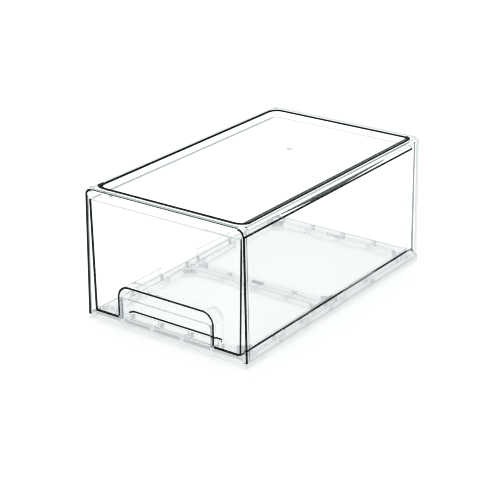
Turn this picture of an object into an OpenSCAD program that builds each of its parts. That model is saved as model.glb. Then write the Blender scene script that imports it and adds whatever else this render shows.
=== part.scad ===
// Stackable drawer box in clear moulded plastic: a case shell, the frame that clips into its foot, and a drawer tray.
// Millimetres, +Z up, X to the right, the drawer opens towards -Y. The origin is the middle of the footprint.

/* [Case] */
// Width of the roof
case_w = 200; // [170:1:240]
// Depth over the foot of the case
case_d = 342; // [300:1:400]
// Height from the table to the roof
case_h = 147.5; // [120:0.5:200]
// Wall thickness of the case
case_wall = 2.2; // [1.8:0.1:2.6]
// Lean of the case walls, outwards towards the foot, in degrees
case_lean = 1.15; // [0.8:0.05:1.5]
// Radius of the upright back corners, at the roof
back_corner_r = 9; // [6:0.5:13]
// Radius along the side and back edges of the roof
roof_edge_r = 1.5; // [1:0.1:2]

/* [Front rim] */
// Depth of the thicker rim round the mouth of the case
rim_d = 7.5; // [5:0.5:9]
// Wall thickness of that rim
rim_wall = 2.7; // [2.6:0.1:3.2]
// Radius of the rim's top corners
rim_corner_r = 7; // [5:0.5:9]

/* [Roof pan] */
// Flat border between the side of the roof and its sunk pan
pan_side = 7.4; // [6:0.2:10]
// The same border along the front
pan_front = 11.8; // [11.5:0.1:16]
// The same border along the back
pan_back = 10.7; // [9:0.1:14]
// How far the pan is sunk below the border
pan_drop = 1.8; // [1.5:0.1:2.4]
// Corner radius of the pan
pan_r = 11; // [8:0.5:16]
// Width of the gate dish in the pan
gate_d = 14; // [8:0.5:20]
// Depth of the gate dish
gate_depth = 0.5; // [0.3:0.1:1.1]
// Distance of the gate dish from the front
gate_at = 224; // [180:1:250]

/* [Frame] */
// Height of the flange's underside, which rests on the unit below
flange_rise = 2; // [1.8:0.1:2.6]
// Thickness of the flange that carries the case walls
flange_t = 3; // [2.5:0.1:3.5]
// How far the flange stands out past the case walls
flange_proud = 0.4; // [0.2:0.1:0.8]
// Height of the rails that the drawer runs on
rail_h = 10.2; // [9.8:0.1:13]
// Width of the side rails
rail_w = 13.7; // [12:0.1:18]
// Depth of the front rail
front_rail_d = 21; // [20:0.5:25]
// Depth of the back rail
back_rail_d = 17; // [15:0.5:22]
// Wall thickness of the frame
frame_wall = 2.2; // [1.8:0.1:2.6]
// Thickness of the ribs under the frame
rib_t = 1.6; // [1.2:0.1:2]
// Radius of the frame's upright front corners
front_corner_r = 2.5; // [1.5:0.1:4]
// Corner radius of the hollows under the rails
hollow_r = 2.5; // [1.5:0.1:3]
// Corner radius of the two windows
window_r = 12; // [8:0.5:16]
// Gap between the rails and the case walls
frame_gap = 0.3; // [0.2:0.05:0.5]
// Distance of the crossbar from the front
crossbar_at = 151; // [140:1:160]
// Depth of the crossbar
crossbar_d = 22; // [18:0.5:26]
// Height of the crossbar's top
crossbar_h = 7.8; // [7:0.1:8]
// How far the skirts round the windows reach below the flange
skirt_drop = 1.4; // [0.8:0.1:1.4]
// Radius of the front rail's rolled top edge
roll_r = 3; // [2:0.1:3.4]

/* [Finger well] */
// Width of the well in the front rail
well_w = 116; // [100:1:120]
// Distance of the well from the front
well_at = 4.6; // [4:0.1:6]
// Depth of the well from front to back
well_d = 13.4; // [12:0.1:14]
// Thickness of the well's floor
well_floor = 2.6; // [2:0.1:3]
// Corner radius of each cell of the well
well_r = 3.5; // [2:0.1:5]
// Number of cells in the well
well_cells = 3; // [1:1:5]

/* [Stacking lugs] */
// Thickness of the lugs that hang beside the roof of the unit below
lug_t = 2.7; // [2:0.1:2.8]
// Length of the front lugs
front_lug = 32; // [20:1:40]
// Length of the middle lugs
middle_lug = 29; // [20:1:40]
// Distance of the middle lugs from the front
middle_lug_at = 143; // [130:1:155]
// Length of the back lugs
back_lug = 35; // [20:1:40]

/* [Snap bars] */
// Distance of the front snap bar from the front
snap_front_at = 67; // [50:1:75]
// Length of the front snap bar
snap_front_len = 50; // [30:1:55]
// Distance of the back snap bar from the front
snap_back_at = 183; // [180:1:190]
// Length of the back snap bar
snap_back_len = 61; // [40:1:70]
// Height of a snap bar, from its flat catch to the top of its ramp
snap_h = 10.2; // [8:0.1:11]
// Height of the upright face between the catch and the ramp
snap_face = 2.2; // [1.8:0.1:3]
// Thickness of the tongue that carries the ramp above the rail
snap_t = 1.8; // [1.4:0.1:2]
// Height of the snap bars' underside above the flange
snap_lift = 2; // [1.6:0.1:2.2]
// Gap round a snap bar in its window
snap_gap = 0.3; // [0.2:0.05:0.4]
// How far a snap bar ends inside the case's outer face
snap_sink = 0.5; // [0.3:0.1:0.8]

/* [Drawer] */
// Wall thickness of the drawer
drawer_wall = 2; // [1.6:0.1:2.6]
// Thickness of the drawer's floor
drawer_floor = 2.4; // [2:0.1:3]
// Thickness of the drawer's front panel
panel_t = 2.6; // [2.2:0.1:3.2]
// Outward lean of the drawer's sides and back, in degrees
drawer_lean = 1; // [0.5:0.1:1.6]
// Gap between the drawer's rim and the case's front rim
drawer_side_gap = 1.6; // [1:0.1:2.5]
// Gap between the drawer's rim and the roof
drawer_head_gap = 7.2; // [3:0.1:10]
// Gap between the drawer's rim and the back of the case
drawer_back_gap = 3.9; // [3:0.1:6]
// Running gap between the drawer's floor and the rails
drawer_run_gap = 0.3; // [0.2:0.05:0.5]
// How far the front panel stands behind the mouth of the case
panel_set = 0.6; // [0.2:0.1:1.2]
// Radius of the drawer's upright back corners, at its floor
drawer_corner_r = 8; // [6:0.5:12]
// Radius of the inner corners beside the front panel
panel_corner_r = 6; // [3:0.5:9]
// Radius along the lower edge of the drawer's sides and back
drawer_edge_r = 2.2; // [1.2:0.1:3]

/* [Finger pull] */
// Width of the opening in the front panel
pull_w = 115; // [100:1:116]
// Height of the opening above the drawer's underside
pull_h = 24.1; // [18:0.5:30]
// Radius of the opening's top corners
pull_r = 5; // [3:0.5:8]
// Width of the pocket behind the panel
pocket_w = 120; // [117:1:130]
// Height of the pocket above the drawer's underside
pocket_h = 36.5; // [32:0.5:45]
// Radius of the pocket's top corners
pocket_r = 12.5; // [8:0.5:15]
// Depth of the pocket at the drawer's underside
pocket_d = 19.5; // [17:0.5:22]
// Lean of the pocket's back, forwards towards its top, in degrees
pocket_lean = 7.5; // [3:0.5:10]
// Radius of the pocket's upright back corners
pocket_corner_r = 5; // [3:0.5:8]
// Wall thickness of the pocket
pocket_wall = 2.2; // [1.8:0.1:2.6]

/* [Drawer stop] */
// Width of the catch on the crossbar
catch_w = 12; // [8:1:20]
// Thickness of the catch from front to back
catch_d = 4; // [3:0.5:6]
// Distance of the catch's back from the crossbar's back edge
catch_set = 11; // [6:0.5:14]
// Gap between the catch and the underside of the drawer
catch_gap = 0.4; // [0.3:0.1:0.6]
// Width of the stop bar under the drawer
stop_w = 24; // [16:1:40]
// Thickness of the stop bar
stop_t = 2; // [1.6:0.1:3]
// Gap between the stop bar and the crossbar that it passes over
stop_gap = 0.5; // [0.3:0.1:0.8]
// Gap between the stop bar and the back rail when the drawer is shut
shut_gap = 0.6; // [0.4:0.1:1]

/* [Hidden] */
$fn = 96;
over = 1;      // how far a cut runs past a face
bite = 0.02;   // how far a round filling sinks into the walls that it meets
clear_plastic = [0.86, 0.93, 0.94, 0.35];
clear_frame = [0.74, 0.88, 0.86, 0.45];
clear_tray = [0.9, 0.94, 0.96, 0.4];

front_y = -case_d / 2;
back_y = case_d / 2;
flange_top = flange_rise + flange_t;
// half the case's outer width at height z, and the place of its back face there
function case_half(z) = case_w / 2 + (case_h - z) * tan(case_lean);
function case_back(z) = back_y - flange_proud - (z - flange_top) * tan(case_lean);
// how much a wall of thickness t takes off a half width measured at its own inner top
function lean_wall(t) = t / cos(case_lean) - t * tan(case_lean);

rail_half = case_half(rail_h) - rim_wall - frame_gap;
rail_back = case_back(rail_h) - case_wall - frame_gap;
flange_half = case_half(flange_top) + flange_proud;
window_half = rail_half - rail_w;
crossbar_y = front_y + crossbar_at;
front_window = [front_y + front_rail_d, crossbar_y];
back_window = [crossbar_y + crossbar_d, rail_back - back_rail_d];
back_outer_r = back_corner_r + (case_h - flange_top) * tan(case_lean) + flange_proud;
rail_corner_r = back_outer_r - flange_proud - case_wall - frame_gap;
snap_z = flange_top + snap_lift;

pan_half = case_w / 2 - pan_side;
pan_y = [front_y + pan_front, case_back(case_h) - pan_back];
pan_z = case_h - pan_drop;

drawer_z = rail_h + drawer_run_gap;
drawer_top = pan_z - case_wall - drawer_head_gap;
drawer_h = drawer_top - drawer_z;
drawer_run = drawer_h * tan(drawer_lean);
drawer_half = case_half(drawer_top) - rim_wall - drawer_side_gap - drawer_run;
drawer_back = case_back(drawer_top) - case_wall - drawer_back_gap - drawer_run;
panel_y = front_y + panel_set;
panel_in = panel_y + panel_t;
catch_y = crossbar_y + crossbar_d - catch_set;
stop_y = back_window[1] - shut_gap - stop_t;

// ---- shared forms ----

// the points of a rounded edge, where the lower face z = 0 meets a wall that leans outwards from x = reach
function edge_arc(reach, lean, r) =
    let (cut = r * tan(45 - lean / 2), steps = max(6, ceil(r * 2.5)))
        [for (i = [0 : steps])
            let (turn = -90 + (90 - lean) * i / steps) [reach - cut + r * cos(turn), r + r * sin(turn)]];

// half of a form seen end on: it starts at z = 0, leans outwards going up and has a rounded lower edge
module half_section(reach, h, lean, edge_r) {
    edge = edge_r > 0 ? edge_arc(reach, lean, edge_r) : [[reach, 0]];
    polygon(concat([[0, 0]], edge, [[reach + h * tan(lean), h], [0, h]]));
}

// extrude a drawing of X and Z from y0 to y1, or a drawing of Y and Z from x0 to x1
module along_y(y0, y1) {
    translate([0, y1, 0]) rotate([90, 0, 0]) linear_extrude(y1 - y0) children();
}

module along_x(x0, x1) {
    translate([x0, 0, 0]) rotate([90, 0, 90]) linear_extrude(x1 - x0) children();
}

// a box form that is flat at the front, y0, and whose sides and back lean outwards going up
module leaning_box(half, y0, y1, h, lean, corner_r, edge_r) {
    x = half - corner_r;
    y = y1 - corner_r;
    intersection() {
        for (s = [0, 1]) mirror([s, 0, 0]) {
            block(-over, x + over / 2, y0 - over, y + over / 2, 0, h);
            translate([x, y, 0]) {
                along_y(y0 - over - y, 0) half_section(corner_r, h, lean, edge_r);
                along_x(-x - over, 0) half_section(corner_r, h, lean, edge_r);
                rotate_extrude(angle = 90) half_section(corner_r, h, lean, edge_r);
            }
        }
        block(-case_w, case_w, y0, case_d, -over, h + over);
    }
}

// a plan with its own radius at the front and at the back corners
module plan(half, y0, y1, front_r, back_r) {
    for (s = [-1, 1]) {
        translate([s * (half - front_r), y0 + front_r]) circle(front_r);
        translate([s * (half - back_r), y1 - back_r]) circle(back_r);
    }
    translate([-half + front_r, y0]) square([2 * (half - front_r), y1 - y0 - back_r]);
    translate([-half, y0 + front_r]) square([2 * half, y1 - y0 - front_r - back_r]);
    translate([-half + back_r, y0 + front_r]) square([2 * (half - back_r), y1 - y0 - front_r]);
}

module block(x0, x1, y0, y1, z0, z1) {
    translate([x0, y0, z0]) cube([x1 - x0, y1 - y0, z1 - z0]);
}

// a cell with four rounded upright corners
module cell(x0, x1, y0, y1, z0, z1, r) {
    translate([(x0 + x1) / 2, 0, z0])
        linear_extrude(z1 - z0) plan((x1 - x0) / 2, y0, y1, r, r);
}

// a doorway seen from the front: flat sides and a top with rounded corners
module doorway(half, z0, z1, r) {
    translate([-half, z0]) square([2 * half, z1 - z0 - r]);
    translate([-half + r, z0]) square([2 * (half - r), z1 - z0]);
    for (s = [-1, 1]) translate([s * (half - r), z1 - r]) circle(r);
}

// ---- case shell ----

// the case's form from y0 back, turned over so that its roof is the closed end and t inside the outer faces
module case_form(y0, t, corner_r, edge_r, foot) {
    translate([0, 0, case_h - t]) mirror([0, 0, 1])
        leaning_box(case_w / 2 - lean_wall(t), y0, case_back(case_h) - lean_wall(t),
            case_h - t - foot, case_lean, corner_r, edge_r);
}

// what lies outside the round top corners of the rim, seen from the front
module rim_corners() {
    arc = edge_arc(case_w / 2, case_lean, rim_corner_r);
    end = arc[len(arc) - 1];
    for (s = [0, 1]) mirror([s, 0, 0]) translate([0, 0, case_h]) mirror([0, 0, 1])
        along_y(front_y - over, front_y + rim_d)
            polygon(concat(arc, [[end[0] + over, end[1]], [end[0] + over, -over], [arc[0][0], -over]]));
}

// the mouth inside the rim, a little smaller than the case behind it
module rim_mouth() {
    half = case_w / 2 - lean_wall(rim_wall);
    for (s = [0, 1]) mirror([s, 0, 0]) translate([0, 0, case_h - rim_wall]) mirror([0, 0, 1])
        along_y(front_y - over, front_y + rim_d + over)
            half_section(half, case_h - rim_wall - flange_top + over, case_lean, rim_corner_r - rim_wall);
}

module snap_window(at, len) {
    for (s = [-1, 1])
        block(s > 0 ? rail_half - snap_t : -case_w, s > 0 ? case_w : -rail_half + snap_t,
            front_y + at - snap_gap, front_y + at + len + snap_gap, snap_z - snap_gap, snap_z + snap_h + snap_gap);
}

module gate_dish() {
    ball_r = (pow(gate_d / 2, 2) + pow(gate_depth, 2)) / (2 * gate_depth);
    translate([0, front_y + gate_at, pan_z + ball_r - gate_depth]) rotate([90, 0, 0]) sphere(ball_r);
}

module housing_shell() {
    color(clear_plastic) difference() {
        case_form(front_y, 0, back_corner_r, roof_edge_r, flange_top);
        difference() {
            case_form(front_y + rim_d, case_wall, back_corner_r - case_wall, roof_edge_r, flange_top - over);
            translate([0, 0, pan_z - case_wall]) linear_extrude(pan_drop + case_wall)
                plan(pan_half + case_wall, pan_y[0] - case_wall, pan_y[1] + case_wall,
                    pan_r + case_wall, pan_r + case_wall);
        }
        rim_mouth();
        rim_corners();
        translate([0, 0, pan_z]) linear_extrude(pan_drop + over)
            plan(pan_half, pan_y[0], pan_y[1], pan_r, pan_r);
        gate_dish();
        snap_window(snap_front_at, snap_front_len);
        snap_window(snap_back_at, snap_back_len);
    }
}

// ---- frame in the foot of the case ----

module lug(y0, y1) {
    intersection() {
        linear_extrude(flange_top) plan(flange_half, front_y, back_y, front_corner_r, back_outer_r);
        for (s = [-1, 1])
            block(s > 0 ? flange_half - lug_t : -flange_half, s > 0 ? flange_half : -flange_half + lug_t,
                y0, y1, 0, flange_top);
    }
}

// a bar that springs into its window in the case wall: a flat catch below, an upright face, and a ramp on a tongue
module snap_bar(at, len) {
    reach = case_half(snap_z) - snap_sink;
    for (s = [0, 1]) mirror([s, 0, 0])
        along_y(front_y + at, front_y + at + len)
            polygon([[rail_half - snap_t, snap_z], [reach, snap_z], [reach, snap_z + snap_face],
                [rail_half, snap_z + snap_h], [rail_half - snap_t, snap_z + snap_h]]);
}

// ribbed hollows under a rail: one cell between each pair of marks
module side_hollows() {
    marks = [front_rail_d, snap_front_at, snap_front_at + snap_front_len, crossbar_at + crossbar_d / 2,
        snap_back_at, snap_back_at + snap_back_len, back_window[1] - front_y];
    for (s = [-1, 1], i = [0 : len(marks) - 2])
        cell(s > 0 ? window_half + frame_wall : -rail_half + frame_wall,
            s > 0 ? rail_half - frame_wall : -window_half - frame_wall,
            front_y + marks[i] + rib_t / 2, front_y + marks[i + 1] - rib_t / 2,
            -over, rail_h - frame_wall, hollow_r);
}

module row_of_hollows(x0, x1, count, y0, y1, top) {
    pitch = (x1 - x0) / count;
    for (i = [0 : count - 1])
        cell(x0 + i * pitch + rib_t / 2, x0 + (i + 1) * pitch - rib_t / 2, y0, y1, -over, top, hollow_r);
}

module finger_well() {
    pitch = well_w / well_cells;
    for (i = [0 : well_cells - 1])
        cell(-well_w / 2 + i * pitch + rib_t / 2, -well_w / 2 + (i + 1) * pitch - rib_t / 2,
            front_y + well_at, front_y + well_at + well_d, flange_rise + well_floor, rail_h + over, well_r);
}

// what is cut off the front rail's top edge to roll it over
module roll_cut() {
    translate([0, front_y, 0]) along_x(-case_w, case_w) difference() {
        translate([-over, rail_h - roll_r]) square([roll_r + over, roll_r + over]);
        translate([roll_r, rail_h - roll_r]) circle(roll_r);
    }
}

module window_skirt(y0, y1) {
    translate([0, 0, flange_rise - skirt_drop]) linear_extrude(skirt_drop) difference() {
        plan(window_half + frame_wall, y0 - frame_wall, y1 + frame_wall, window_r + frame_wall, window_r + frame_wall);
        plan(window_half, y0, y1, window_r, window_r);
    }
}

module drawer_catch() {
    top = drawer_z - catch_gap;
    along_x(-catch_w / 2, catch_w / 2)
        polygon([[catch_y - catch_d, crossbar_h - over], [catch_y, crossbar_h - over], [catch_y, top],
            [catch_y - catch_d / 3, top], [catch_y - catch_d, crossbar_h]]);
}

module base_frame() {
    color(clear_frame) {
        difference() {
            union() {
                translate([0, 0, flange_rise]) linear_extrude(flange_t)
                    plan(flange_half, front_y, back_y, front_corner_r, back_outer_r);
                translate([0, 0, flange_rise]) linear_extrude(rail_h - flange_rise)
                    plan(rail_half, front_y, rail_back, front_corner_r, rail_corner_r);
                lug(front_y, front_y + front_lug);
                lug(front_y + middle_lug_at, front_y + middle_lug_at + middle_lug);
                lug(back_y - back_lug, back_y);
                snap_bar(snap_front_at, snap_front_len);
                snap_bar(snap_back_at, snap_back_len);
            }
            for (w = [front_window, back_window])
                cell(-window_half, window_half, w[0], w[1], 0, rail_h + over, window_r);
            block(-window_half, window_half, crossbar_y - window_r, crossbar_y + crossbar_d + window_r,
                crossbar_h, rail_h + over);
            side_hollows();
            row_of_hollows(-window_half, window_half, 4, crossbar_y + frame_wall,
                crossbar_y + crossbar_d - frame_wall, crossbar_h - frame_wall);
            row_of_hollows(-window_half, window_half, 4, back_window[1] + frame_wall,
                rail_back - frame_wall, rail_h - frame_wall);
            for (s = [-1, 1])
                cell(s > 0 ? well_w / 2 + frame_wall : -rail_half + frame_wall,
                    s > 0 ? rail_half - frame_wall : -well_w / 2 - frame_wall,
                    front_y + well_at, front_y + well_at + well_d, -over, rail_h - frame_wall, hollow_r);
            finger_well();
            roll_cut();
        }
        window_skirt(front_window[0], front_window[1]);
        window_skirt(back_window[0], back_window[1]);
        drawer_catch();
    }
}

// ---- drawer ----

// the drawer's form from y0 back, t thinner in its walls and floor_t in its floor, and rise taller
module drawer_form(y0, t, floor_t, rise, corner_r, edge_r) {
    thin = t / cos(drawer_lean) - floor_t * tan(drawer_lean);
    translate([0, 0, drawer_z + floor_t])
        leaning_box(drawer_half - thin, y0, drawer_back - thin, drawer_h - floor_t + rise,
            drawer_lean, corner_r, edge_r);
}

// the filling of a corner that leaves a round hollow, seen from above: the corner is at the origin
module corner_fill(r) {
    steps = ceil(r * 2.5);
    arc = [for (i = [0 : steps]) let (turn = -90 * i / steps) [-r + r * cos(turn), r + r * sin(turn)]];
    polygon(concat([[-r, -over], [over, -over], [over, r]], arc));
}

// the hollow of the drawer, with a leaning round corner beside each end of the panel
module drawer_hollow() {
    inner = drawer_half - drawer_wall / cos(drawer_lean) + drawer_floor * tan(drawer_lean);
    difference() {
        drawer_form(panel_in, drawer_wall, drawer_floor, over, drawer_corner_r - drawer_wall, 0);
        for (s = [0, 1]) mirror([s, 0, 0])
            translate([inner + bite, panel_in - bite, drawer_z + drawer_floor]) rotate([0, drawer_lean, 0])
                translate([0, 0, -over]) linear_extrude(drawer_h + 2 * over) corner_fill(panel_corner_r);
    }
}

// the pocket's form, which leans forwards towards its top and is t larger than the hollow
module pocket_form(t, z0, y0) {
    half = pocket_w / 2 + t;
    top = drawer_z + pocket_h + t;
    foot_y = panel_y + pocket_d + t;
    top_y = foot_y - (top - drawer_z) * tan(pocket_lean);
    low_y = foot_y + (drawer_z - z0) * tan(pocket_lean);
    intersection() {
        along_y(y0, low_y + over) doorway(half, z0, top, pocket_r + t);
        along_x(-half, half) polygon([[y0, z0], [low_y, z0], [top_y, top], [y0, top]]);
        translate([0, 0, z0]) linear_extrude(top - z0)
            plan(half, y0 - pocket_d, foot_y, pocket_corner_r, pocket_corner_r + t);
    }
}

module drawer_tray() {
    color(clear_tray) difference() {
        union() {
            difference() {
                drawer_form(panel_y, 0, 0, 0, drawer_corner_r, drawer_edge_r);
                drawer_hollow();
            }
            pocket_form(pocket_wall, drawer_z, panel_in - over);
            block(-stop_w / 2, stop_w / 2, stop_y, stop_y + stop_t, crossbar_h + stop_gap, drawer_z + over);
        }
        pocket_form(0, drawer_z - over, panel_in);
        along_y(panel_y - over, panel_in + over) doorway(pull_w / 2, drawer_z - over, drawer_z + pull_h, pull_r);
    }
}

housing_shell();
base_frame();
drawer_tray();
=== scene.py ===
import math

import bmesh
import bpy
import numpy as np
from mathutils import Matrix, Vector
from mathutils.bvhtree import BVHTree


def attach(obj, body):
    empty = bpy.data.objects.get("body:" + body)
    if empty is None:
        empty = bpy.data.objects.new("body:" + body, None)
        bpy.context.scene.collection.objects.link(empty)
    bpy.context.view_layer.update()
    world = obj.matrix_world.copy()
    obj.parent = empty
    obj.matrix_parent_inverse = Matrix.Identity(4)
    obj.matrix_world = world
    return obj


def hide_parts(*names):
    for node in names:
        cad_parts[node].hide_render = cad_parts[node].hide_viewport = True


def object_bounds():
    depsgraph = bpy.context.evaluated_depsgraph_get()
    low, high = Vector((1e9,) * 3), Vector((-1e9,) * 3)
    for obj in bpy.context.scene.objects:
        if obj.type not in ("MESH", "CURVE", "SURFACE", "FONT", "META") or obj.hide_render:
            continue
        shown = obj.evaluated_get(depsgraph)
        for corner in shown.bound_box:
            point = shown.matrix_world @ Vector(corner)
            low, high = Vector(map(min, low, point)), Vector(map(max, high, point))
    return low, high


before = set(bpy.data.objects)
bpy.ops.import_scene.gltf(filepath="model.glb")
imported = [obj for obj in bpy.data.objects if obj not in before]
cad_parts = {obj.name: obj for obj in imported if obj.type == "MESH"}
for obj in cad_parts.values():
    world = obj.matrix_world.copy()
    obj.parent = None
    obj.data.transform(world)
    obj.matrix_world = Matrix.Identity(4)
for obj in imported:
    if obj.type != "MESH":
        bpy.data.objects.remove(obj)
cadLow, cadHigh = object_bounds()

mm = 0.001
scene = bpy.context.scene

viewpoint = {
    "position": (903.1, -1275.2, 702.8),  # mm, in the frame of the box
    "azimuth": 35.78,  # degrees that the view turns from straight at the drawer
    "elevation": 22.87,  # degrees that it looks down
    "roll": -0.26,  # degrees
    "focalLength": 111.55,  # mm
    "sensorWidth": 36,  # mm
    "nearest": 0.05,  # metres
    "farthest": 60,  # metres
}


def makeCamera(values):
    # ahead follows the azimuth and the elevation, right is level and square to it, up is square to both,
    # and the roll turns right and up about ahead
    azimuth, elevation, roll = (math.radians(values[k]) for k in ("azimuth", "elevation", "roll"))
    ahead = Vector((-math.sin(azimuth) * math.cos(elevation), math.cos(azimuth) * math.cos(elevation),
                    -math.sin(elevation)))
    right = Vector((math.cos(azimuth), math.sin(azimuth), 0.0))
    up = right.cross(ahead)
    tiltedRight = right * math.cos(roll) + up * math.sin(roll)
    tiltedUp = up * math.cos(roll) - right * math.sin(roll)
    turned = Matrix((tiltedRight, tiltedUp, -ahead)).transposed()
    camera = bpy.data.objects.new("camera", bpy.data.cameras.new("camera"))
    camera.matrix_world = Matrix.Translation(Vector(values["position"]) * mm) @ turned.to_4x4()
    camera.data.lens = values["focalLength"]
    camera.data.sensor_width = values["sensorWidth"]
    camera.data.clip_start = values["nearest"]
    camera.data.clip_end = values["farthest"]
    scene.collection.objects.link(camera)
    scene.camera = camera


makeCamera(viewpoint)
print("camera placed")


def linearColour(hexText):
    # turns an sRGB hex value to Blender's linear colour
    parts = [int(hexText[i:i + 2], 16) / 255 for i in (1, 3, 5)]
    return [p / 12.92 if p <= 0.04045 else ((p + 0.055) / 1.055) ** 2.4 for p in parts] + [1.0]


def addNode(tree, kind, settings=None, links=None):
    # a setting goes to the input of its name or number, or else to the node's own property
    node = tree.nodes.new(kind)
    for key, value in (settings or {}).items():
        if isinstance(key, int) or key in node.inputs:
            node.inputs[key].default_value = value
        else:
            setattr(node, key, value)
    for key, source in (links or {}).items():
        tree.links.new(source, node.inputs[key])
    return node


# clear polystyrene from a polished mould: the eye sees through the walls, and sees dark lines along their
# edges, which bend the view away from the bright surroundings
polystyrene = {
    "roughness": 0.0,
    # far under the real 1.59, with which black bands cross a slanting view through several walls; narrow
    # strips painted in the darker shades make the dark lines instead
    "index": 1.04,
    "shadowTint": "#f4f6f6",
    "depthColour": "#c6d6d4",
    "depthDensity": 1.0,  # for each metre inside a wall
}
# painted shade: tints of the plastic, from clear to black, laid on strips of faces where edges bend the view
shades = {
    "clear": "#ffffff",
    "grey": "#b4bcbc",
    "mid": "#7a8284",
    "dark": "#2a2e30",
    "black": "#020303",
    "faint": "#e9eded",
    "air": "#fbfcfc",  # painted pale line on edges that are nearly lost in the light
    "paleShade": "#fcfdfd",  # painted pale shade on the roof and right wall of the case
}
shadeNames = list(shades)
plain = shadeNames.index("clear")
paintedRoundedGrey = shadeNames.index("grey")  # painted grey line on a rounded edge outside every zone


def polystyrenePaintedShade(name, colour, values):
    # views pass the plastic itself, and shadows and scattered light pass a bare tint, so that the floor
    # stays bright under the box; the depth dims both
    material = bpy.data.materials.new(name)
    material.use_nodes = True
    tree = material.node_tree
    tree.nodes.clear()
    plastic = addNode(tree, "ShaderNodeBsdfPrincipled", {
        "Base Color": linearColour(colour), "Roughness": values["roughness"], "IOR": values["index"],
        "Transmission Weight": 1.0})
    path = addNode(tree, "ShaderNodeLightPath")
    soft = addNode(tree, "ShaderNodeMath", {"operation": "MAXIMUM"},
                   {0: path.outputs["Is Shadow Ray"], 1: path.outputs["Is Diffuse Ray"]})
    through = addNode(tree, "ShaderNodeBsdfTransparent", {"Color": linearColour(values["shadowTint"])})
    both = addNode(tree, "ShaderNodeMixShader", links={
        0: soft.outputs[0], 1: plastic.outputs[0], 2: through.outputs[0]})
    depth = addNode(tree, "ShaderNodeVolumeAbsorption", {
        "Color": linearColour(values["depthColour"]), "Density": values["depthDensity"]})
    addNode(tree, "ShaderNodeOutputMaterial", links={"Surface": both.outputs[0], "Volume": depth.outputs[0]})
    return material


def shadeSet(pieceName, values):
    # one material for each painted shade, in the order of the shades: the same clear plastic tinted clear
    # through black
    ending = pieceName[0].upper() + pieceName[1:]
    return [polystyrenePaintedShade("polystyrenePaintedShade" + shade.title() + ending, colour, values)
            for shade, colour in shades.items()]


# outlines with rounded corners that some painted strips follow, in mm
outlines = {
    "pan": {"half": 92.6, "axis": 1, "middle": -1.08, "reach": 158.12, "radius": 11},  # sunk in the roof
    "pull": {"half": 62.2, "axis": 2, "middle": 0, "reach": 49.2, "radius": 14.7},  # for the fingers
}
mouthRadius = 7


def roundedInward(first, second, radius):
    # how far inside a rounded corner each point lies, from how far inside the corner's two sides it lies:
    # the radius less the distance to the corner's centre, or the shorter of the two away from the corner
    corner = radius - np.stack([first, second])
    return radius - np.hypot(*np.maximum(corner, 0)) - np.minimum(corner.max(axis=0), 0)


def measures(points, planes):
    # how far each point lies inside each named plane and each outline, in mm: for a plane, the point's dot
    # product with the normal, plus the offset
    found = {"x": points[:, 0], "y": points[:, 1], "up": points[:, 2], "across": np.abs(points[:, 0])}
    for name, (normal, offset) in planes.items():
        found[name] = points @ np.array(normal) + offset
    found["side"] = np.minimum(found["left"], found["right"])
    for name, outline in outlines.items():
        lengthways = outline["reach"] - np.abs(points[:, outline["axis"]] - outline["middle"])
        found[name] = roundedInward(outline["half"] - found["across"], lengthways, outline["radius"])
    found["mouth"] = roundedInward(found["side"], found["top"], mouthRadius)
    return found


def inZone(found, where):
    # the points whose measures all lie between the limits
    inside = np.ones(len(found["x"]), bool)
    for name, (least, most) in where.items():
        inside &= (found[name] >= least) & (found[name] <= most)
    return inside


def zone(shade, turnedOnly=False, levelToo=True, **where):
    # the painted shade of the faces between these limits, in mm
    return {"shade": shade, "turnedOnly": turnedOnly, "levelToo": levelToo, "where": where}


def cut(plane, depth, **where):
    # a straight cut through the faces between these limits, at a depth in mm inside a plane
    return {"plane": plane, "depth": depth, "where": where}


cutting = {
    "mergeWithin": 2e-6,  # metres
    "flatWithin": 0.1,  # degrees between the triangles of one flat face
    "planeWithin": 1e-6,  # metres
    "cornerCuts": 7,  # cuts that follow a quarter circle
}


def cornerCuts(outline, end, depth, **where):
    # cuts round the two corners at one end of an outline, at a depth inside it: each plane stands as far
    # from the origin as the corner's centre does along the plane's normal, plus the radius
    cuts = []
    lengthways = Vector((0, 0, 0))
    lengthways[outline["axis"]] = end
    half, radius = outline["half"], outline["radius"]
    reach = outline["reach"] + end * outline["middle"]
    for turn in np.radians(np.linspace(0, 90, cutting["cornerCuts"])):
        offset = (half - radius) * math.cos(turn) + (reach - radius) * math.sin(turn) + radius
        for way in (1, -1):
            normal = Vector((-way * math.cos(turn), 0, 0)) - lengthways * math.sin(turn)
            cuts.append(cut((tuple(normal), offset), depth, **where))
    return cuts


def facesWithin(mesh, planes, where):
    # the faces that have all their corners between the limits
    mesh.verts.index_update()
    places = np.array([v.co for v in mesh.verts]) / mm
    inside = inZone(measures(places, planes), where)
    return [f for f in mesh.faces if all(inside[v.index] for v in f.verts)]


def markFaces(mesh, faces, planes, mark):
    # lifts these faces, sets strips in along their border, or cuts them where a plane meets them
    if "lift" in mark:
        for corner in {v for f in faces for v in f.verts}:
            corner.co.z += mark["lift"] * mm
    for width in mark.get("insets", ()):
        bmesh.ops.inset_region(mesh, faces=faces, thickness=width * mm, use_even_offset=True,
                               use_boundary=True)
    if "plane" in mark:
        normal, offset = planes.get(mark["plane"], mark["plane"])
        turn = Vector(normal)
        middle = turn * (mark["depth"] - offset) / turn.length_squared * mm
        near = list({e for f in faces for e in f.edges}) + list({v for f in faces for v in f.verts})
        bmesh.ops.bisect_plane(mesh, geom=faces + near, dist=cutting["planeWithin"], plane_co=middle,
                               plane_no=turn)


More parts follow.
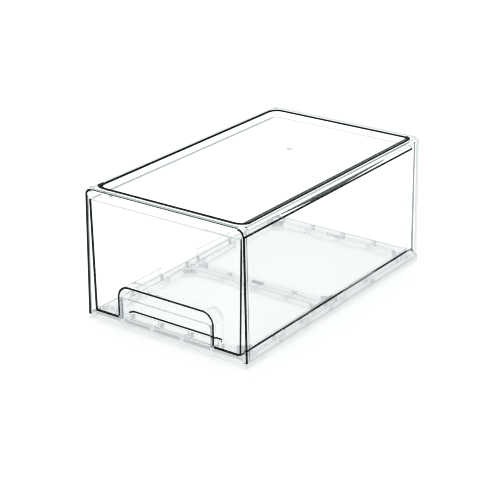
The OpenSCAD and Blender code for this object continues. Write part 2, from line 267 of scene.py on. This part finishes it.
def sharpCopy(node, name, planes, marks):
    # a copy of a solid with its triangles joined to whole faces, and then the marks
    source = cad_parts[node]
    piece = bpy.data.objects.new(name, source.data.copy())
    scene.collection.objects.link(piece)
    mesh = bmesh.new()
    mesh.from_mesh(piece.data)
    bmesh.ops.remove_doubles(mesh, verts=mesh.verts, dist=cutting["mergeWithin"])
    bmesh.ops.dissolve_limit(mesh, angle_limit=math.radians(cutting["flatWithin"]), verts=mesh.verts,
                             edges=mesh.edges)
    for mark in marks:
        markFaces(mesh, facesWithin(mesh, planes, mark["where"]), planes, mark)
    bmesh.ops.connect_verts_concave(mesh, faces=mesh.faces)
    mesh.to_mesh(piece.data)
    mesh.free()
    if piece.data.attributes.get("custom_normal"):
        piece.data.attributes.remove(piece.data.attributes["custom_normal"])
    piece.data.materials.clear()
    return piece


def placesOf(mesh):
    # the corners of a mesh, one to a row, in metres
    places = np.empty(len(mesh.vertices) * 3, np.float32)
    mesh.vertices.foreach_get("co", places)
    return places.reshape(-1, 3)


rounding = {
    "sharpFrom": 30,  # degrees that the faces turn at an edge
    "steps": 2,
    "largestStray": 0.5,  # distance from the solid, as a share of the width
}


def roundEdges(piece, width):
    # rounds the sharp edges over a width in mm
    before = placesOf(piece.data)
    solid = BVHTree.FromPolygons([v.co for v in piece.data.vertices],
                                 [p.vertices for p in piece.data.polygons])
    bevel = piece.modifiers.new("roundEdges", "BEVEL")
    bevel.width = width * mm
    bevel.segments = rounding["steps"]
    bevel.limit_method = "ANGLE"
    bevel.angle_limit = math.radians(rounding["sharpFrom"])
    bevel.use_clamp_overlap = False
    bevel.material = paintedRoundedGrey
    rounded = bpy.data.meshes.new_from_object(piece.evaluated_get(bpy.context.evaluated_depsgraph_get()))
    piece.modifiers.clear()
    piece.data = rounded
    # a rounding stays by the solid's surface and never reaches past its box
    for corner in rounded.vertices:
        spot, _, _, gap = solid.find_nearest(corner.co)
        if gap > width * rounding["largestStray"] * mm:
            corner.co = spot
    places = np.clip(placesOf(rounded), before.min(axis=0), before.max(axis=0))
    rounded.vertices.foreach_set("co", places.ravel())


shading = {
    "largestRounded": 30,  # mm2, a larger face is shaded flat, so that no rounding bends a wall
    "turned": 0.985,  # a face is turned where no axis takes this much of its normal
    "level": 0.9,  # a face is level where the upward axis takes this much of its normal
    "largeFaces": 100,  # weight of the large faces in a normal that several share
}


def shadeFaces(piece, planes, zones):
    # each face has the painted shade of the first zone that holds all its corners and its middle
    polygons = piece.data.polygons
    count, loops = len(polygons), len(piece.data.loops)
    middle, normal = np.empty(count * 3, np.float32), np.empty(count * 3, np.float32)
    slots, start, corner = np.empty(count, np.int32), np.empty(count, np.int32), np.empty(loops, np.int32)
    area = np.empty(count, np.float32)
    polygons.foreach_get("area", area)
    polygons.foreach_get("normal", normal)
    polygons.foreach_get("center", middle)
    polygons.foreach_get("material_index", slots)
    polygons.foreach_get("loop_start", start)
    piece.data.loops.foreach_get("vertex_index", corner)
    found = measures(placesOf(piece.data) / mm, planes)
    foundMiddle = measures(middle.reshape(-1, 3) / mm, planes)
    normal = np.abs(normal.reshape(-1, 3))
    turned = normal.max(axis=1) < shading["turned"]
    level = normal[:, 2] >= shading["level"]
    shade = np.where(slots == paintedRoundedGrey, paintedRoundedGrey, plain)
    for part in reversed(zones):
        chosen = np.logical_and.reduceat(inZone(found, part["where"])[corner], start)
        chosen &= inZone(foundMiddle, part["where"])
        if part["turnedOnly"]:
            chosen &= turned
        if not part["levelToo"]:
            chosen &= ~level
        shade[chosen] = shadeNames.index(part["shade"])
    polygons.foreach_set("material_index", shade.astype(np.int32))
    polygons.foreach_set("use_smooth", area < shading["largestRounded"] * mm * mm)
    even = piece.modifiers.new("evenNormals", "WEIGHTED_NORMAL")
    even.weight = shading["largeFaces"]
    print(piece.name, count, "faces, by shade", np.bincount(shade, minlength=len(shades)))


def dressNode(node, name, body, planes, zones, marks, width, plastic=polystyrene):
    # the seen piece of a solid: cut where its painted shades change, rounded along its edges, and given its
    # painted shades
    piece = sharpCopy(node, name, planes, marks)
    for material in shadeSet(name, plastic):
        piece.data.materials.append(material)
    roundEdges(piece, width)
    shadeFaces(piece, planes, zones)
    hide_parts(node)
    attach(piece, body)


beyond = 400  # mm, past every piece
onFace = (-0.05, 0.05)


def downTo(depth):
    # from a face down to a cut at this depth, with a little to spare
    return (-0.1, depth + 0.1)


caseValues = {  # mm, but degrees for the lean
    "lean": 1.15,  # of the walls, which stand wider at the foot
    "footHalf": 102.961,  # at the height of the ground
    "back": 170.6,  # at the height of the ground
    "panFloor": 145.7,
    "foot": 5,
    "footLift": 0.06,  # off the flange, because two clear faces in one plane render black
    "rounding": 0.3,
    # painted dark strips round the pan
    "panRing": 1.2,
    "panRight": 1.6,  # more than the ring
    "panFront": 5.0,
    "panFloorRight": 13.9,  # from the right wall
    # painted dark strips round the mouth, and on the roof above it
    "rimFace": 1.8,
    "rimBehind": 8.4,
    "rimLeft": 2.9,
    "rimRight": 1.4,
    "mouthBlock": 7.5,  # of the front face, at each side, with the cuts of the round corners in it
    "mouthCorner": 2.4,
    "roofLine": 1.0,
    "roofFront": 3.9,
    # painted pale sides and back of the roof, and how far down the painted shades at its edges go
    "roofBeside": 3.4,
    "roofDown": 4.0,
    "underRoof": 7.2,
    # painted dark streak under the right edge of the roof, the reflection of the drawer's dark rim
    "streakTop": 3.6,
    "streakStart": 62.4,
    "streakEnd": 257.5,
}


def caseParts(values):
    # the planes that the walls lie in, the zones of the painted shades, and the cuts between them
    lean = math.tan(math.radians(values["lean"]))
    footHalf, panFloor, foot = (values[k] for k in ("footHalf", "panFloor", "foot"))
    # the case reaches the front and the top of the whole product's bounds
    front, roof = round(-cadLow[1] / mm, 3), round(cadHigh[2] / mm, 3)
    planes = {
        "left": ((1, 0, -lean), footHalf),
        "right": ((-1, 0, -lean), footHalf),
        "front": ((0, 1, 0), front),
        "back": ((0, -1, -lean), values["back"]),
        "top": ((0, 0, -1), roof),
        "streakNear": ((0, 0.0473, 1), -137.86),  # lower edges of the streak, which rise to its two ends
        "streakFar": ((0, -0.0341, 1), -140.05),
    }
    pan = outlines["pan"]
    mouth = {"half": footHalf - roof * lean, "axis": 2, "middle": 0, "reach": roof, "radius": mouthRadius}
    aboveRoof = roof + 0.5
    roofFace = (roof - 0.01, aboveRoof)
    panWall = (panFloor - 0.05, aboveRoof)
    panBottom = (panFloor - 0.05, panFloor + 0.05)
    besideMouth = (values["underRoof"] - 0.1, 143)  # measured down from the roof
    border = {"up": roofFace, "pan": (-beyond, 0.01)}
    frontFace = {"front": onFace, "up": (130, aboveRoof)}
    rightWall = {"right": onFace, "up": (140.2, aboveRoof)}
    marks = [
        {"lift": values["footLift"], "where": {"up": (foot - 0.05, foot + 0.01)}},
        {"insets": (values["panRing"], values["panRight"]), "where": border},
        cut("front", 30, **border),
        *cornerCuts(pan, -1, -values["panFront"], up=roofFace, pan=(-beyond, -2.6), y=(-beyond, -140.9)),
        cut("right", values["panFloorRight"], up=panBottom),
        cut("front", values["rimFace"]),
        cut("front", values["rimBehind"]),
        *[cut(wall, values["roofBeside"]) for wall in ("back", "left", "right")],
        cut("top", values["roofDown"]),
        cut("top", values["underRoof"]),
        cut("right", values["rimRight"], front=onFace),
        cut("top", values["roofLine"], front=onFace),
        cut("front", values["roofFront"], up=(roof - 0.1, aboveRoof)),
        cut("top", values["streakTop"], **rightWall),
        cut("front", values["streakStart"], **rightWall),
        cut("front", values["streakEnd"], **rightWall),
        cut("streakNear", 0, **rightWall),
        cut("streakFar", 0, **rightWall),
        cut("left", values["mouthBlock"], **frontFace),
        cut("right", values["mouthBlock"], **frontFace),
        *cornerCuts(mouth, 1, values["mouthCorner"], **frontFace),
    ]
    panRightStrip = values["panRing"] + values["panRight"] + 0.1
    zones = [
        # painted pale shade on the dish of the gate
        zone("air", across=(0, 12), y=(41, 65), up=(144, panFloor - 0.05)),
        # painted black round the pan, wider on its right and in front, and a painted dark line on its floor
        zone("black", pan=(-values["panRing"] - 0.1, 0.4), y=(-beyond, 151), up=panWall),
        zone("black", pan=(-0.4, 0.4), up=panWall),
        zone("black", pan=(-panRightStrip, 0.4), x=(84, 110), up=panWall),
        zone("black", pan=(-values["panFront"] - 0.2, 0.4), y=(-beyond, -147.5), up=panWall),
        zone("dark", x=(85, 93), up=panBottom),
        # painted black and mid lines at the corners and sides of the mouth
        zone("black", front=downTo(0), mouth=(-0.7, values["mouthCorner"] + 0.3),
             side=downTo(values["mouthBlock"]), top=(-0.3, values["underRoof"] + 0.1)),
        zone("black", front=downTo(0.4), left=downTo(values["rimLeft"]), top=besideMouth),
        zone("mid", front=downTo(values["rimFace"]), left=(2.2, 3.4), top=besideMouth),
        zone("black", front=(-0.1, 2.4), right=downTo(values["rimRight"]), top=besideMouth),
        # painted dark and grey lines over the mouth, and on the roof just behind
        zone("dark", front=downTo(0.3), side=(7, beyond), top=downTo(values["roofLine"])),
        zone("grey", front=downTo(values["roofFront"]), side=(7, beyond), top=downTo(values["roofLine"])),
        # painted dark streak under the right edge of the roof, the reflection of the drawer's dark rim
        zone("dark", right=onFace, front=(values["streakStart"] - 0.1, values["streakEnd"] + 0.1),
             top=(values["streakTop"] - 0.05, values["underRoof"] + 0.05),
             streakNear=(-0.02, 50), streakFar=(-0.02, 50)),
        # painted mid line inside the right corner at the back
        zone("mid", right=(7.2, 12), back=(2.0, 2.6), top=besideMouth),
        # painted pale edges of the roof at the sides and back, and a painted mid line on the step behind the
        # rim
        zone("air", side=(-0.2, values["roofBeside"] + 0.1), top=downTo(values["roofDown"]),
             front=(7.7, beyond)),
        zone("air", back=(-0.5, values["roofBeside"] + 0.1), top=downTo(values["roofDown"])),
        zone("mid", turnedOnly=True, front=downTo(values["rimBehind"]), side=(1.5, 3.2), up=(4.5, 140.4)),
        # the rest: painted pale shade on roof and right wall, other walls clear, a painted faint line at the
        # foot
        zone("paleShade", up=(143, aboveRoof)),
        zone("paleShade", right=downTo(2.2), up=(foot + 0.2, 143.6)),
        zone("clear", up=(foot + 0.25, aboveRoof)),
        zone("faint", up=(foot - 0.1, foot + 0.4)),
    ]
    return planes, zones, marks


casePlanes, caseZones, caseMarks = caseParts(caseValues)
dressNode("housing_shell", "caseShell", "case", casePlanes, caseZones, caseMarks,
          caseValues["rounding"])

frameValues = {  # mm
    "railTop": 10.2,
    "railLine": (9.3, 11.3),  # from the case's right wall
    "rounding": 0.25,
    # the ribs and rails look pale grey, so they take more light than the walls do
    "plastic": dict(polystyrene, depthColour="#c2cbce", depthDensity=25.0),
}


def frameParts(values):
    # the zones of the painted shades, and the cuts between them, measured from the walls of the case
    onRail = (values["railTop"] - 0.05, values["railTop"] + 0.05)
    near, far = values["railLine"]
    marks = [cut("right", near, up=onRail), cut("right", far, up=onRail)]
    flangeFoot = (1.9, 2.9)
    besideFlange = (-1.5, 1)
    zones = [
        # painted dark line along the top of the right rail
        zone("dark", right=(near - 0.1, far + 0.1), up=onRail, front=(2.9, beyond)),
        # painted dark, mid and pale lines on the edges of the flange
        zone("dark", turnedOnly=True, up=flangeFoot, front=(-1, 1)),
        zone("mid", turnedOnly=True, up=flangeFoot, right=besideFlange),
        zone("air", turnedOnly=True, up=(4.2, 5.3), right=besideFlange),
        # painted grey line at the foot of the front rail, and painted pale lines on every other rounded edge
        zone("grey", turnedOnly=True, up=(-0.1, 1.1), front=(-2, 22)),
        zone("air", turnedOnly=True, up=downTo(values["railTop"])),
    ]
    return zones, marks


frameZones, frameMarks = frameParts(frameValues)
dressNode("base_frame", "baseFrame", "case", casePlanes, frameZones, frameMarks,
          frameValues["rounding"], frameValues["plastic"])

drawerValues = {  # mm, but degrees for the lean
    "lean": 1.0,  # of the walls, which stand wider at the rim
    "footHalf": 93.546,  # at the height of the ground
    "front": 170.4,
    "back": 159.485,  # at the height of the ground
    "rim": 136.3,
    "foot": 10.5,
    "rounding": 0.3,
    # painted black strips of the front panel
    "panelLeft": 3.3,
    "panelRight": 2.7,
    "panelFoot": 3.0,
    "pullRing": 2.2,
    "pocketFoot": 2.3,
    # painted strips of the tray behind it
    "rimLine": 1.2,
    "rimStart": 6.0,
    "wallLine": 2.4,
    "wallFoot": 2.9,
}


def drawerParts(values):
    # the planes that the walls lie in, the zones of the painted shades, and the cuts between them
    lean = math.tan(math.radians(values["lean"]))
    planes = {
        "left": ((1, 0, lean), values["footHalf"]),
        "right": ((-1, 0, lean), values["footHalf"]),
        "front": ((0, 1, 0), values["front"]),
        "back": ((0, -1, lean), values["back"]),
        "top": ((0, 0, -1), values["rim"]),
        "foot": ((0, 0, 1), -values["foot"]),
    }
    pull = outlines["pull"]
    aroundPull = {"front": onFace, "across": (0, 66.1), "up": (0, 54.1)}
    marks = [
        # sides and top of a block of the front face that the pull's round corners are cut in
        cut(((1, 0, 0), 66), 0, front=onFace),
        cut(((-1, 0, 0), 66), 0, front=onFace),
        cut(((0, 0, -1), 54), 0, front=onFace),
        *cornerCuts(pull, 1, 0, **aroundPull),
        *cornerCuts(pull, 1, values["pullRing"], **aroundPull),
        cut("top", values["rimLine"]),
        cut("left", values["wallLine"]),
        cut("left", values["panelLeft"], front=onFace),
        cut("right", 1.0),
        cut("front", 30),
        cut("front", values["panelRight"], right=onFace),
        cut("front", values["rimStart"]),
        cut("foot", values["wallFoot"], front=(29.9, beyond)),
        cut("foot", values["pocketFoot"], front=(13.9, 23.1)),
        cut("foot", values["panelFoot"], front=(-0.05, 0.5)),
    ]
    inPull = (0, 62.3)
    overPanel = (-0.1, 126)  # up from the foot
    wallTop = (-0.2, 2.2)
    zones = [
        # painted black round the finger pull and its pocket's foot, grey on its cut edge, pale on its
        # roundings
        zone("black", pull=(-0.3, values["pullRing"] + 0.2), front=downTo(0), foot=(2.2, 60)),
        zone("black", levelToo=False, across=inPull, front=(14, 23), foot=downTo(values["pocketFoot"])),
        zone("grey", across=inPull, front=downTo(2.6), foot=downTo(25.9)),
        zone("air", turnedOnly=True, across=inPull, front=(2.5, 23), foot=downTo(38.9)),
        # painted black on the left, right and lower edge of the front panel
        zone("black", front=downTo(0.3), left=downTo(values["panelLeft"]), foot=overPanel),
        zone("black", front=downTo(values["panelRight"]), right=downTo(0.3), foot=overPanel),
        zone("black", front=downTo(0.3), foot=(-0.1, values["panelFoot"] + 0.2)),
        # painted pale rim of the panel, black rim of the right wall and grey rim of the left wall
        zone("air", front=(-0.1, 2.9), top=downTo(values["rimLine"])),
        zone("black", right=wallTop, top=downTo(values["rimLine"]), front=(values["rimStart"] - 0.1, beyond)),
        zone("grey", left=wallTop, top=downTo(values["rimLine"]), front=(2.5, beyond)),
        # painted black on the foot of the right wall, and on its corner at the back
        zone("black", right=(-0.2, values["wallLine"]), foot=downTo(values["wallFoot"])),
        zone("black", turnedOnly=True, right=(0.15, 1.7), back=(3.0, 7)),
        # painted faint lines on the rest of the rim, and on the roundings of the floor
        zone("faint", top=downTo(0.4)),
        zone("faint", turnedOnly=True, foot=(2, 3)),
    ]
    return planes, zones, marks


drawerPlanes, drawerZones, drawerMarks = drawerParts(drawerValues)
dressNode("drawer_tray", "drawerTray", "drawer", drawerPlanes, drawerZones, drawerMarks,
          drawerValues["rounding"])
print("pieces made")

stageValues = {
    "floorHalf": 12.0,  # metres
    "paper": "#f2f2f2",
    "shadowShare": 0.34,  # share of the seen floor that takes the shadow
    # the floor as it is seen through the walls or in them
    "whiteTo": 0.9,  # metres from the middle
    "greyFrom": 1.2,  # metres from the middle
    "farGrey": 0.7,
}


def makeFloor(values):
    # matt paper, which is plain white where it is seen, but for the share that takes the shadow
    half = values["floorHalf"]
    mesh = bpy.data.meshes.new("floor")
    mesh.from_pydata([(-half, -half, 0), (half, -half, 0), (half, half, 0), (-half, half, 0)], [],
                     [(0, 1, 2, 3)])
    floor = bpy.data.objects.new("floor", mesh)
    scene.collection.objects.link(floor)
    material = bpy.data.materials.new("mattPaperSweep")
    material.use_nodes = True
    tree = material.node_tree
    tree.nodes.clear()
    lit = addNode(tree, "ShaderNodeBsdfDiffuse", {"Color": linearColour(values["paper"])})
    path = addNode(tree, "ShaderNodeLightPath")
    place = addNode(tree, "ShaderNodeTexCoord")
    reach = addNode(tree, "ShaderNodeVectorMath", {"operation": "LENGTH"}, {0: place.outputs["Object"]})
    fall = addNode(tree, "ShaderNodeMapRange", {
        "From Min": values["whiteTo"], "From Max": values["greyFrom"], "To Min": 1.0,
        "To Max": values["farGrey"]}, {"Value": reach.outputs["Value"]})
    strength = addNode(tree, "ShaderNodeMix", {"data_type": "FLOAT", 3: 1.0},
                       {0: path.outputs["Is Camera Ray"], 2: fall.outputs[0]})
    glow = addNode(tree, "ShaderNodeEmission", {"Color": (1, 1, 1, 1)}, {"Strength": strength.outputs[0]})
    seen = addNode(tree, "ShaderNodeMath", {"operation": "MAXIMUM"},
                   {0: path.outputs["Is Camera Ray"], 1: path.outputs["Is Glossy Ray"]})
    seenAll = addNode(tree, "ShaderNodeMath", {"operation": "MAXIMUM"},
                      {0: seen.outputs[0], 1: path.outputs["Is Transmission Ray"]})
    share = addNode(tree, "ShaderNodeMath", {"operation": "MULTIPLY", 1: 1 - values["shadowShare"]},
                    {0: seenAll.outputs[0]})
    both = addNode(tree, "ShaderNodeMixShader", links={
        0: share.outputs[0], 1: lit.outputs[0], 2: glow.outputs[0]})
    addNode(tree, "ShaderNodeOutputMaterial", links={"Surface": both.outputs[0]})
    mesh.materials.append(material)


makeFloor(stageValues)
print("floor laid")

skyValues = {
    "horizon": 0.6,  # brightness, where 1 is white
    "whiteFrom": 0.5,  # sine of the angle above the horizon
}


def makeWorld(values):
    # white where it is seen, and for all other light darker down to the horizon
    world = bpy.data.worlds.new("studio")
    scene.world = world
    world.use_nodes = True
    tree = world.node_tree
    tree.nodes.clear()
    path = addNode(tree, "ShaderNodeLightPath")
    place = addNode(tree, "ShaderNodeTexCoord")
    parts = addNode(tree, "ShaderNodeSeparateXYZ", links={0: place.outputs["Generated"]})
    sky = addNode(tree, "ShaderNodeMapRange", {
        "From Min": 0.0, "From Max": values["whiteFrom"], "To Min": values["horizon"], "To Max": 1.0},
        {"Value": parts.outputs["Z"]})
    strength = addNode(tree, "ShaderNodeMix", {"data_type": "FLOAT", 3: 1.0},
                       {0: path.outputs["Is Camera Ray"], 2: sky.outputs[0]})
    glow = addNode(tree, "ShaderNodeBackground", {"Color": (1, 1, 1, 1)}, {"Strength": strength.outputs[0]})
    addNode(tree, "ShaderNodeOutputWorld", links={"Surface": glow.outputs[0]})


makeWorld(skyValues)

softbox = {
    "place": (-0.7, 0.7, 1.9),  # metres
    "target": (0, 0, 0),
    "size": 1.2,  # metres
    "power": 35,  # watts
}


def makeLamp(name, values):
    # a square lamp at its place, turned to the target
    data = bpy.data.lights.new(name, "AREA")
    data.shape = "SQUARE"
    data.size = values["size"]
    data.energy = values["power"]
    lamp = bpy.data.objects.new(name, data)
    lamp.location = values["place"]
    aim = Vector(values["target"]) - Vector(values["place"])
    lamp.rotation_euler = aim.to_track_quat("-Z", "Y").to_euler()
    scene.collection.objects.link(lamp)


makeLamp("overheadSoftbox", softbox)
print("light placed")

bounces = 24  # enough for a view through every wall of the box
scene.view_settings.view_transform = "Standard"
scene.cycles.max_bounces = bounces
scene.cycles.transmission_bounces = bounces
scene.cycles.transparent_max_bounces = bounces
scene.cycles.glossy_bounces = 16
scene.cycles.use_denoising = True
scene.cycles.filter_width = 1.0
